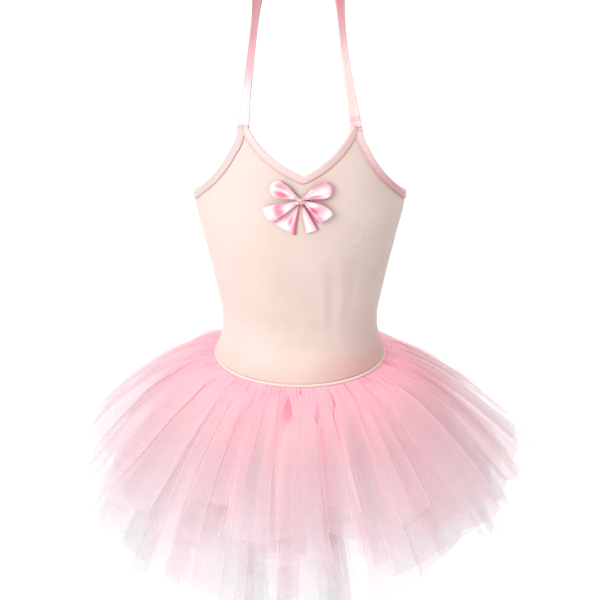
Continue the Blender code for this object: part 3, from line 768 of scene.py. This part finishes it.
def bow_knot(material):
    """A wrap of ribbon round the middle: a closed band with soft lengthwise folds."""
    width, depth, height = KNOT_SIZE
    turn = float(turn_at(np.array(KNOT[0]), KNOT[1]))
    centre = on_body(turn, KNOT[1], BOW_LIFT + depth / 2 + 0.8)
    width, height = KNOT_SHARE[0] * width, KNOT_SHARE[1] * height
    v = np.linspace(-1, 1, KNOT_STEPS)[:, None]
    u = np.linspace(0, 2 * math.pi, KNOT_ROUND, endpoint=False)
    swell = (1 - np.abs(v)**3.5 * 0.55) * (1 + 0.05 * np.cos(5 * u + 1.3 * v) + 0.03 * np.cos(9 * u))
    x = width / 2 * swell * np.sign(np.cos(u)) * np.abs(np.cos(u))**0.75
    y = depth / 2 * swell * np.sign(np.sin(u)) * np.abs(np.sin(u))**0.75
    z = height / 2 * v * np.ones(KNOT_ROUND)
    a = math.radians(turn)
    grid = np.stack([x * math.cos(a) - y * math.sin(a), x * math.sin(a) + y * math.cos(a), z], -1) + centre
    ends = [np.broadcast_to(centre + [0, 0, side * height * 0.5], (1, KNOT_ROUND, 3)) for side in (-1, 1)]
    grid = np.vstack([ends[0], grid, ends[1]])
    uv = paired(np.arange(KNOT_ROUND) * 0.6, np.arange(KNOT_STEPS + 2)[:, None] * 0.6)
    # painted shade and light along the knot's soft folds
    shade = 0.30 + 0.30 * np.cos(5 * u + 1.3 * np.linspace(-1.1, 1.1, KNOT_STEPS + 2)[:, None])
    thing = mesh_grid("cloth_bow_knot", grid, uv, closed=True, facts={"tone": clamp(shade)})
    weld(thing)
    dress(thing, material, "bow_satin", "bow_knot")


# from deep pink for painted shade to white for painted highlight
BOW_STOPS = [
    (0, 0.44, 0.075, 0.12), (0.22, 0.56, 0.17, 0.24), (0.42, 0.62, 0.3, 0.36), (0.62, 0.63, 0.42, 0.46),
    (0.8, 0.64, 0.53, 0.55), (1, 0.68, 0.645, 0.645),
]
bow_satin = satin_material("bow_satin_pink", BOW_STOPS, None, rough=0.26, sheen=0.2)
for row in RIBBONS:
    bow_ribbon(row, bow_satin)
bow_knot(bow_satin)


# ---- tulle
# share of the length; degrees below level of the top, middle and bottom layers
FALLS = np.array([(0, 19, 31, 44), (0.25, 32, 43, 52), (0.55, 41, 50, 57), (1, 49, 54, 60)], float)
# turn; share of the length of the top, middle and bottom layers; degrees flatter
ROUNDS = np.array([
    (-180, 0.99, 0.97, 0.97, 0), (-160, 1.02, 1, 0.95, 0), (-140, 0.95, 0.95, 0.98, 0.5),
    (-118, 1, 0.98, 0.94, 1), (-98, 1, 1, 0.96, 1), (-86, 1, 0.96, 0.94, 1),
    (-72, 0.95, 0.95, 0.92, 0.5), (-58, 0.98, 0.98, 0.95, 0), (-44, 0.97, 1.01, 0.97, 0),
    (-33, 0.98, 1.01, 1.01, 0), (-24, 0.88, 0.92, 0.99, 0), (-12, 1, 1.01, 1.01, 0),
    (5, 1.01, 1.01, 1, 0), (17, 0.88, 0.89, 0.98, 0), (28, 0.99, 0.97, 0.96, 0.5),
    (44, 0.96, 0.92, 0.9, 1), (60, 0.99, 0.93, 0.87, 1), (76, 1.03, 0.98, 0.91, 1.5),
    (91, 1.1, 1.06, 0.97, 2), (108, 1.05, 1, 0.94, 1.5), (130, 0.96, 1, 0.96, 1),
    (154, 1.01, 0.95, 0.98, 0.5), (180, 0.99, 0.97, 0.97, 0),
])
LENGTHS = (190, 213, 237)
DROPS = (2.6, 6.6, 10.8)   # of the layers' seams under the bodice's hem

# A ply of net on a layer (0 top, 1 middle, 2 bottom): how far over the layer's form it lies, its length
# against the layer's, folds all round, strips at its hem and the least and most share of the length from
# which they hang free, height of the folds, how much the strips lap, how ragged the hem is, cover and tone
# at waist, middle and hem, seed of its random draws
Ply = namedtuple("Ply", "name layer over length folds strips slit fold lap ragged cover tone seed")
PLIES = [
    Ply("tulle_a", 0, 1.8, 1, 26, 46, (0.45, 0.95), 3.4, 1, 1,
        (0.68, 0.34, 0.24), (0, 0.46, 0.78), 5),
    Ply("tulle_b", 0, -1.2, 0.9, 24, 42, (0.55, 0.95), 4.2, 1, 1,
        (0.8, 0.36, 0.22), (0, 0.46, 0.78), 19),
    Ply("tulle_c", 1, 1.4, 1, 26, 44, (0.55, 0.95), 4.6, 1, 1,
        (0.8, 0.34, 0.23), (0.05, 0.52, 0.8), 33),
    Ply("tulle_d", 1, -1.4, 0.86, 24, 38, (0.55, 0.98), 4.8, 1, 1,
        (0.8, 0.34, 0.22), (0.05, 0.52, 0.8), 47),
    Ply("tulle_e", 2, 0.6, 1.01, 22, 38, (0.75, 1.3), 4.8, 1.1, 1,
        (0.8, 0.32, 0.21), (0.1, 0.74, 0.88), 61),
    Ply("tulle_f", 2, -1.4, 0.95, 22, 20, (0.8, 1.2), 4.8, 0.7, 0.3,
        (0.6, 0.3, 0.11), (0.1, 0.76, 1), 83),
]
# Small openings between gathers near the waist: turn, distance down the net to the top and bottom, width,
# number of plies that they go through
Hole = namedtuple("Hole", "turn top bottom width plies")
HOLES = [Hole(*row) for row in (
    (-7.9, 13, 45, 9.5, 1), (-13.5, 1, 7, 3, 1), (0.3, 1, 9, 3, 1),
    (47, 1, 8, 4, 1), (118, 0, 8, 3.5, 2), (172, 0, 9, 3.5, 2),
    (-131, 0, 8, 3, 2),
)]
# Tucks between gathers in the top layer, pinched in and painted in shade: turn, distance down the net to
# the top and bottom, lean across for each mm down, half width, depth, how much painted shade
Tuck = namedtuple("Tuck", "turn top bottom lean half depth deep")
TUCKS = [Tuck(*row) for row in (
    (21.8, 8, 84, 0.04, 2.6, 2.6, 1), (-2.2, 0, 20, 0.1, 1.1, 1.5, 1),
    (-20, 0, 13, -0.15, 1.3, 1.2, 0.9), (-16.2, 0, 12, -0.12, 1.2, 1.2, 0.9),
    (9, 0, 14, 0.25, 1.3, 1, 0.7), (-36, 0, 15, -0.2, 1.6, 1.2, 0.8),
    (-47, 0, 26, -0.15, 1.6, 1.2, 0.7), (-12, 26, 95, -0.05, 3, 1.8, 0.55),
    (11, 16, 90, 0.08, 3.4, 2, 0.5), (33, 0, 60, 0.12, 2.6, 1.8, 0.6),
    (50, 0, 13, 0.25, 3, 1.5, 1), (58, 6, 70, 0.1, 3, 1.8, 0.5),
    (76, 0, 16, 0.1, 5, 1.8, 1), (-28, 12, 80, -0.08, 3, 1.8, 0.45),
    (-58, 8, 80, -0.1, 3.4, 1.8, 0.45), (140, 4, 60, 0.08, 3, 1.8, 0.6),
    (-150, 4, 70, -0.08, 3, 1.8, 0.6), (188, 2, 50, 0.05, 3, 1.8, 0.6),
)]
# Puffs between waist and hem: turn, spread in degrees, height
Puff = namedtuple("Puff", "turn spread height")
PUFFS = [Puff(-112, 34, 6), Puff(-60, 24, 2.5)]
# Long gaps between strips at the front: turn on the top, middle and bottom layers, distance down to their
# top, half width in degrees, how far the strips beside them part and lean at the hem
Gap = namedtuple("Gap", "turns start half part lean")
GAPS = [Gap((-28, -31, -33), 135, 2.6, 5, 10), Gap((15, 17, 19), 130, 2.8, 7, 6)]
COLUMNS = 1300             # faces round the skirt
ROWS = 36                  # faces from waist to hem
LONGEST = 1.08             # the most of its length that a ply's strip may have
FALL_STEPS = 120           # in which a layer's fall is added up
WAIST_RADIUS = 92.0
NET_ROUND = 2200.0         # net round the skirt, on the flat cloth
BROAD_WAVES = 26           # round the skirt, in which the net leans and lifts
SPLIT = 0.08               # share of the length from which the strips are apart
GAPS_FROM = 110.0          # distance down the net from which the long gaps open
SHORT_TUCKS = 56           # in each ply, under the waist seam
DEEPEST_TUCK = 2.2         # of all that cross at one place
PARTED_PEAK = 0.69         # about the most that down * (1 - down**8) comes to


def cyclic(rng, count, spread_by):
    """Where uneven steps round the skirt begin, as shares of the way round, and the last one's end."""
    widths = 1 + spread_by * rng.uniform(-1, 1, count)
    return np.concatenate(([0.0], np.cumsum(widths))) / widths.sum()


def around(rng, starts, share, low, high):
    """A random value for each step, eased from one to the next round the skirt."""
    values = rng.uniform(low, high, len(starts) - 1)
    middles = (starts[1:] + starts[:-1]) / 2
    return np.interp(share, np.concatenate([[middles[-1] - 1], middles, [middles[0] + 1]]),
                     np.concatenate([[values[-1]], values, [values[0]]]))


def beside(turn, at, forward):
    """Distance round the skirt from the turn at, where the net is this far forward of the waist."""
    return ((turn - at + 180) % 360 - 180) * math.pi / 180 * (WAIST_RADIUS + forward)


def parted(d, hole):
    """How far the gathers beside a hole are apart, 0 to 1, widest low down."""
    down = clamp((d - hole.top) / (hole.bottom - hole.top))
    return down * (1 - down**8) / PARTED_PEAK


Cut = namedtuple("Cut", "strip width inside hem free part")


def cut_hem(rng, row, share, turn):
    """The cut of a ply's hem, at each column: its strip, the strip's width as a share of the way round, the
    place across it, the net's length, the share of the layer's length from which the strip hangs free, and
    how far it moves aside for the long gaps."""
    starts = cyclic(rng, row.strips, 0.65)
    strip = np.clip(np.searchsorted(starts, share, side="right") - 1, 0, row.strips - 1)
    width = starts[strip + 1] - starts[strip]
    inside = (share - starts[strip]) / width
    off = rng.uniform(-0.07, 0.05, row.strips)[strip]
    slant = rng.uniform(-0.08, 0.08, row.strips)[strip]
    point = rng.uniform(-0.02, 0.06, row.strips)[strip]
    hem = LENGTHS[row.layer] * row.length * (
        smooth(ROUNDS, turn, 1 + row.layer)
        + row.ragged * (off + slant * (inside - 0.5) - point * np.abs(2 * inside - 1)))
    slit_top = rng.uniform(*row.slit, row.strips)
    free = np.maximum(slit_top, np.roll(slit_top, -1))[strip]
    # the strips in a long gap are short, and the ones beside it part
    middle = (-180 + 180 * (starts[1:] + starts[:-1]))[strip]
    part = np.zeros((1, COLUMNS))
    for gap in GAPS:
        away = middle - gap.turns[row.layer]
        short = (np.abs(away) < gap.half) & (row.ragged == 1)
        hem = np.where(short, np.minimum(hem, gap.start + 30 * rng.random()), hem)
        part = part + np.sign(away) * gap.part * bell(away, 8) + gap.lean * bell(away, 14)
    return Cut(strip, width, inside, hem, free, part)


def fall_of(row, turn, hem):
    """The layer's form under a ply: the distance down the net, the ways out from the body and sideways, how
    far forward of the waist it is, its slope, and the place."""
    longest = LENGTHS[row.layer] * row.length * LONGEST
    d = np.minimum((longest * np.linspace(0, 1, ROWS + 1)**1.12)[:, None], np.maximum(hem, 5.0))
    start_z = hem_z(turn)
    away = normal(turn, start_z)
    away[:, 2] = 0
    away = unit(away)
    side = np.stack([-away[:, 1], away[:, 0], 0 * turn], 1)
    start = outer(turn, start_z) - away * PANEL_WALL / 2
    start[:, 2] -= DROPS[row.layer]
    fine = np.linspace(0, longest, FALL_STEPS + 1)
    slope = smooth(FALLS, fine / LENGTHS[row.layer], 1 + row.layer)
    fall = np.radians(slope[:, None] - smooth(ROUNDS, turn, 4))
    step = np.diff(fine)[:, None]
    forward, down = [
        np.vstack([np.zeros(COLUMNS), np.cumsum(f(fall[:-1]) * step, axis=0)]) for f in (np.cos, np.sin)]
    at = d / longest * FALL_STEPS
    low = np.minimum(at.astype(int), FALL_STEPS - 1)
    over = at - low
    cols = np.arange(COLUMNS)
    forward, down, fall = [
        table[low, cols] * (1 - over) + table[low + 1, cols] * over for table in (forward, down, fall)]
    place = start + away * forward[..., None]
    place[..., 2] -= down
    return d, away, side, forward, fall, place


def tucked(rng, number, turn, d, forward):
    """How far the net is pinched in, and its painted shade, by tucks and short creases at the waist."""
    pinch, deep = np.zeros_like(d), np.zeros_like(d)
    short = [Tuck(rng.uniform(-180, 180), 0.0, rng.uniform(14, 50), rng.uniform(-0.2, 0.2),
                  rng.uniform(1.0, 2.4), rng.uniform(0.6, 1.4), rng.uniform(0.3, 0.85))
             for _ in range(SHORT_TUCKS)]
    for tuck in short + (TUCKS if number < 2 else []):
        off_line = beside(turn, tuck.turn, forward) - tuck.lean * d
        part_down = np.clip((d - tuck.top) / (tuck.bottom - tuck.top), -0.2, 1.3)
        half = tuck.half * (0.35 + 0.65 * clamp(part_down))
        if tuck.top:
            fade = clamp(part_down * 5) * (1 - np.clip(part_down - 0.1, 0, 1.1) / 1.1)
        else:
            fade = 1 - np.clip(part_down, 0, 1.2) / 1.2
        line = bell(off_line, half) * fade
        pinch += tuck.depth * line
        deep = np.maximum(deep, tuck.deep * line)
    return np.minimum(pinch, DEEPEST_TUCK), deep


def faces_kept(number, strip, turn, d, forward, s):
    """Which faces of a ply are made: none past the hem, between two strips or across an open hole."""
    keep = d[1:] - d[:-1] > 1e-4
    keep = keep | np.roll(keep, -1, axis=1)
    keep = keep & ((strip == np.roll(strip, -1)) | (s[:-1] < SPLIT))
    for hole in HOLES:
        if number < hole.plies:
            sideways = beside(turn, hole.turn, forward)
            slit = (sideways < 0) & (np.roll(sideways, -1, axis=1) >= 0) & (np.abs(sideways) < 5)
            opened = parted(d, hole) > 0
            keep = keep & ~(slit[:-1] & (opened[:-1] | opened[1:]))
    return keep


def ply(row):
    """One ply of net over its layer's form, with its folds, strips, tucks, holes and puffs."""
    rng = np.random.default_rng(row.seed)
    number = PLIES.index(row)
    share = np.arange(COLUMNS) / COLUMNS
    turn = -180 + 360 * share
    cut = cut_hem(rng, row, share, turn)
    d, away, side, forward, fall, place = fall_of(row, turn, cut.hem)
    s = d / LENGTHS[row.layer]

    def eased(starts, low, high):
        return around(rng, starts, share, low, high)

    def each_strip(low, high):
        return rng.uniform(low, high, row.strips)[cut.strip]

    # folds: uneven waves that grow towards the hem, leaning sideways, with finer ones among them
    folds = cyclic(rng, row.folds, 0.5)
    phase = np.interp(share, folds, np.arange(row.folds + 1)) * 2 * math.pi
    depth = eased(folds, 0.4, 1.4)
    lean = eased(folds, -1.2, 1.2)
    crisp = eased(folds, -0.6, 1.0)
    grow = 0.04 + 0.96 * np.clip(s, 0, 1.2)**1.1
    minor = cyclic(rng, row.folds * 2 + 9, 0.5)
    minor_phase = np.interp(share, minor, np.arange(len(minor))) * 2 * math.pi
    minor_depth = eased(minor, 0.1, 1.0)
    broad = cyclic(rng, BROAD_WAVES, 0.5)
    bend = 0.5 * np.sin(s * 3.0 + eased(broad, -3, 3))
    wave = (row.fold * depth * grow * np.cos(phase + bend)
            + 0.35 * minor_depth * np.clip(s * 3, 0.1, 1) * np.cos(minor_phase - bend))
    loose = (np.maximum(s - cut.free, 0) / 0.5)**1.3
    shift = (4.6 * lean * grow**1.3 * np.cos(phase + bend + 0.5)
             + eased(broad, -9, 9) * s**1.3
             + cut.part * clamp((d - GAPS_FROM) / GAPS_FROM)**1.2
             + each_strip(-9, 9) * loose)
    # the strips lap like the slats of a blind, one side of each lying higher
    u = 2 * cut.inside - 1
    strip_width = cut.width * 2 * math.pi * (WAIST_RADIUS + forward)
    opened = clamp((s - SPLIT) / 0.20)
    opened = opened**2 * (3 - 2 * opened) * row.lap
    shift += u * strip_width * opened * each_strip(0.10, 0.45)
    shift += each_strip(-0.25, 0.25) * strip_width * opened
    wave += u * opened * each_strip(-2.4, 2.4)
    wave += eased(broad, -3.5, 6.0) * s**2 + each_strip(-9, 12) * loose
    pinch, deep = tucked(rng, number, turn, d, forward)
    wave -= pinch
    for hole in HOLES:
        sideways = beside(turn, hole.turn, forward)
        if number < hole.plies:
            near = bell(sideways, 2 * hole.width, 4)
            near = near * (1 - clamp((d - hole.bottom) / (hole.bottom - hole.top)))
            shift = shift * (1 - near)
            apart = hole.width / 2 * parted(d, hole) * bell(sideways, 9)
            shift += np.where(sideways < 0, -1, 1) * apart
    for puff in PUFFS:
        wave += puff.height * bell(turn - puff.turn, puff.spread) * 4 * clamp(s * (1 - s))
    lift = away * np.sin(fall)[..., None]
    lift[..., 2] += np.cos(fall)
    rise = wave + row.over * clamp(s * 8)
    points = place + lift * rise[..., None] + side[None] * shift[..., None]
    if number == 0:
        # the gathered edge runs up behind the hem of the bodice, where it is sewn
        start_z = hem_z(turn)
        points[0] = on_body(turn, start_z + 3.0, -PANEL_WALL - 1.0)
        points[1] = on_body(turn, start_z - 1.6, -0.9) - away * clamp(pinch[1])[:, None] * 0.8
        # painted shade on the two rows at the seam, under the bodice's hem
        deep[:2] = np.maximum(deep[:2], 0.25)

    # how much thread is in the way: more towards the waist, at the sides and on the flanks of folds
    cover = np.interp(s, (0.0, 0.15, 0.5, 1.0), (row.cover[0], row.cover[0] * 0.92, *row.cover[1:]))
    across = np.gradient(points, axis=1)
    flank = np.abs(np.sum(across * lift, -1)) / np.maximum(np.linalg.norm(across, axis=-1), 1e-6)
    clump = eased(minor, 0.95, 1.06) * eased(folds, 0.88, 1.12)
    vary = each_strip(-0.36, 0.36) + each_strip(-0.3, 0.3) * u
    cover = cover * (1 + 0.5 * flank**3) * clump * (1 + row.ragged * vary * clamp(s * 2))
    tone = np.interp(s, (0.0, 0.5, 1.0), row.tone) + each_strip(-0.16, 0.16) * clamp(2 * s)
    # each strip is a little in shade beside the one that laps over it
    shaded = each_strip(-0.15, 0.42) * bell(cut.inside * strip_width, 5.0, 1.5)
    deep = np.maximum(deep, clamp(shaded) * clamp(4 * s) * clamp(1.4 - s))
    # fold flanks and some strips' edges are paler, a painted highlight, and all strips' edges a little
    # denser
    edge = 0.35 * flank**3 * clamp(s * 4) * clamp(crisp)
    at_side = np.minimum(cut.inside, 1 - cut.inside) * cut.width * COLUMNS < 1.0
    lit = clamp(each_strip(-0.2, 1.1))
    edge = np.maximum(edge, 0.9 * lit * at_side * clamp(opened * 2 / max(row.lap, 0.1)))
    hips = bell(np.abs(turn) - 92, 26) * clamp(s)
    cover = cover * (1 + 0.5 * at_side) * (1 + 0.12 * hips)
    # the ply behind a hole is in shade
    for hole in HOLES:
        if number >= hole.plies:
            middle = (d - (hole.top + hole.bottom) / 2) / (0.62 * (hole.bottom - hole.top))
            sideways = beside(turn, hole.turn, forward) / (1.2 * hole.width)
            deep = np.maximum(deep, 0.75 * np.exp(-sideways**4 - middle**4))
    # painted shade towards the wearer's right, where the key light falls, more down the skirt
    painted_shade_lit_side = clamp(0.26 - points[..., 0] / 520) * clamp(0.4 + 0.6 * s)
    facts = {"net": np.clip(cover, 0, 0.97), "tone": clamp(tone), "edge": clamp(edge),
             "deep": clamp(deep), "painted_shade_lit_side": painted_shade_lit_side}
    keep = faces_kept(number, cut.strip, turn, d, forward, s)
    thing = mesh_grid(row.name, points, paired(share * NET_ROUND, d), closed=True, keep=keep, facts=facts)
    weld(thing)
    return thing


SKIRT_NODES = ("skirt_top_layer", "skirt_middle_layer", "skirt_bottom_layer")
# from waist to hem: deep pink at the waist, grey towards the hem as painted shade on the lower threads
NET_STOPS = [
    (0, 0.94, 0.575, 0.655), (0.3, 0.82, 0.57, 0.615), (0.6, 0.74, 0.575, 0.61),
    (0.8, 0.71, 0.59, 0.625), (0.9, 0.65, 0.565, 0.595), (1, 0.44, 0.45, 0.48),
]
NET_EDGE_HIGHLIGHT, NET_PAINTED_SHADE, NET_SHADE = (0.86, 0.70, 0.74), (0.92, 0.32, 0.42), (0.86, 0.93, 0.92)
pink_net = tulle_material("tulle_pink", NET_STOPS, NET_EDGE_HIGHLIGHT, NET_PAINTED_SHADE, NET_SHADE)
replaced = set()
for row in PLIES:
    thing = ply(row)
    dress(thing, pink_net, "tulle", *({SKIRT_NODES[row.layer]} - replaced))
    replaced.add(SKIRT_NODES[row.layer])


# ---- camera, light and stage
PITCH = math.radians(24.0)     # how far the photo looks down
DISTANCE = 2.0
AIM_Z = -0.343
FRAME = 600                # pixels across the photo
PIXEL = 0.00108            # metres at the aim in one pixel
SENSOR = 36.0              # mm
scene = bpy.context.scene
lens = bpy.data.cameras.new("photo_view")
lens.sensor_width = SENSOR
lens.lens = DISTANCE / PIXEL / FRAME * SENSOR
lens.clip_end = 60.0
camera = linked("photo_view", lens)
camera.location = (0.0, -DISTANCE * math.cos(PITCH), AIM_Z + DISTANCE * math.sin(PITCH))
camera.rotation_euler = (math.pi / 2 - PITCH, 0.0, 0.0)
scene.camera = camera


def area_light(name, place, aim, size, power):
    """A round soft light of a size in metres and a power in watts."""
    data = bpy.data.lights.new(name, "AREA")
    data.shape = "DISK"
    data.size = size
    data.energy = power
    thing = linked(name, data)
    thing.location = place
    direction = np.array(aim) - np.array(place)
    yaw = math.atan2(direction[1], direction[0])
    tilt = math.acos(-direction[2] / np.linalg.norm(direction))
    thing.rotation_euler = (tilt, 0.0, yaw - math.pi / 2)


area_light("key", (-1.95, -2.15, 1.0), (0.0, 0.0, -0.35), 2.2, 112.0)
area_light("top", (0.5, -0.5, 2.2), (0.0, 0.0, -0.4), 2.0, 26.0)
area_light("back", (-1.2, 2.6, 0.9), (0.0, 0.0, -0.35), 1.6, 45.0)

world = bpy.data.worlds.new("studio")
world.use_nodes = True
background = world.node_tree.nodes["Background"].inputs
background["Color"].default_value = (1.0, 1.0, 1.0, 1.0)
background["Strength"].default_value = 1.06
scene.world = world
scene.view_settings.view_transform = "Standard"
scene.cycles.transparent_max_bounces = 64      # a line of sight passes many plies of net

# The floor is white paper that mostly glows, so that the pale veil of net at the hem shows against it as it
# does on the photo's white ground.
FLOOR_Z, HALF_FLOOR = -1.0, 20.0
floor_mesh = bpy.data.meshes.new("floor")
corners = [(x * HALF_FLOOR, y * HALF_FLOOR, FLOOR_Z) for x, y in ((-1, -1), (1, -1), (1, 1), (-1, 1))]
floor_mesh.from_pydata(corners, [], [(0, 1, 2, 3)])
floor = linked("floor", floor_mesh)
pale, tree, out = nodes_of("pale_floor")
paper = node(tree, "BsdfDiffuse", {"Color": (0.94, 0.94, 0.94, 1.0)}).outputs[0]
glow = node(tree, "Emission", {"Color": (1.0, 1.0, 1.0, 1.0), "Strength": 1.02}).outputs[0]
lit_paper = node(tree, "MixShader", {0: 0.8, 1: paper, 2: glow}).outputs[0]
tree.links.new(lit_paper, out.inputs["Surface"])
floor_mesh.materials.append(pale)
